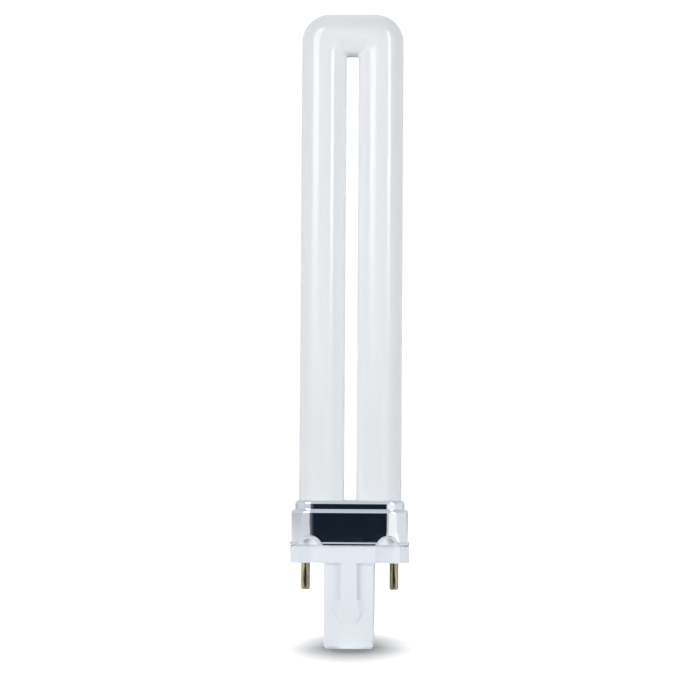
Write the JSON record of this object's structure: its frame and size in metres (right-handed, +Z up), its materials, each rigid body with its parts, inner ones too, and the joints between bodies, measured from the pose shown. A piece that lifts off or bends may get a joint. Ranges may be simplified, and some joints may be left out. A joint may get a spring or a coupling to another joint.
{
  "type": "u shaped fluorescent bulb",
  "caption": "Upright U shaped white fluorescent tube in a polished metal collar, on a white plug-in base with a square post and contact pins.",
  "frame": {"origin": "centre of the post's end face, on which the bulb stands in the picture", "axes": "+Z up along the bulb's axis towards the bend, X from pin to pin, Y from front to back"},
  "size_m": [0.031, 0.0198, 0.1652],
  "materials": {
    "coated_glass": "clear glass over a white coating inside, glossy",
    "collar_metal": "polished",
    "white_plastic": "satin gloss",
    "cement": "matt",
    "starter_glass": "clear",
    "capacitor_coat": "dipped",
    "pin_brass": "bright, lightly tarnished",
    "lead_wire": "bare wire",
    "splice_metal": "crimped"
  },
  "bodies": {
    "root": {"glass_tube": "coated_glass", "collar": "collar_metal", "base_housing": "white_plastic", "basing_cement": "cement", "starter_bulb": "starter_glass", "capacitor": "capacitor_coat", "pin_left": "pin_brass", "pin_right": "pin_brass", "lead_to_pin_left": "lead_wire", "lead_to_pin_right": "lead_wire", "lead_to_splice_left": "lead_wire", "lead_to_splice_right": "lead_wire", "splice_left": "splice_metal", "splice_right": "splice_metal"}
  },
  "joints": []
}
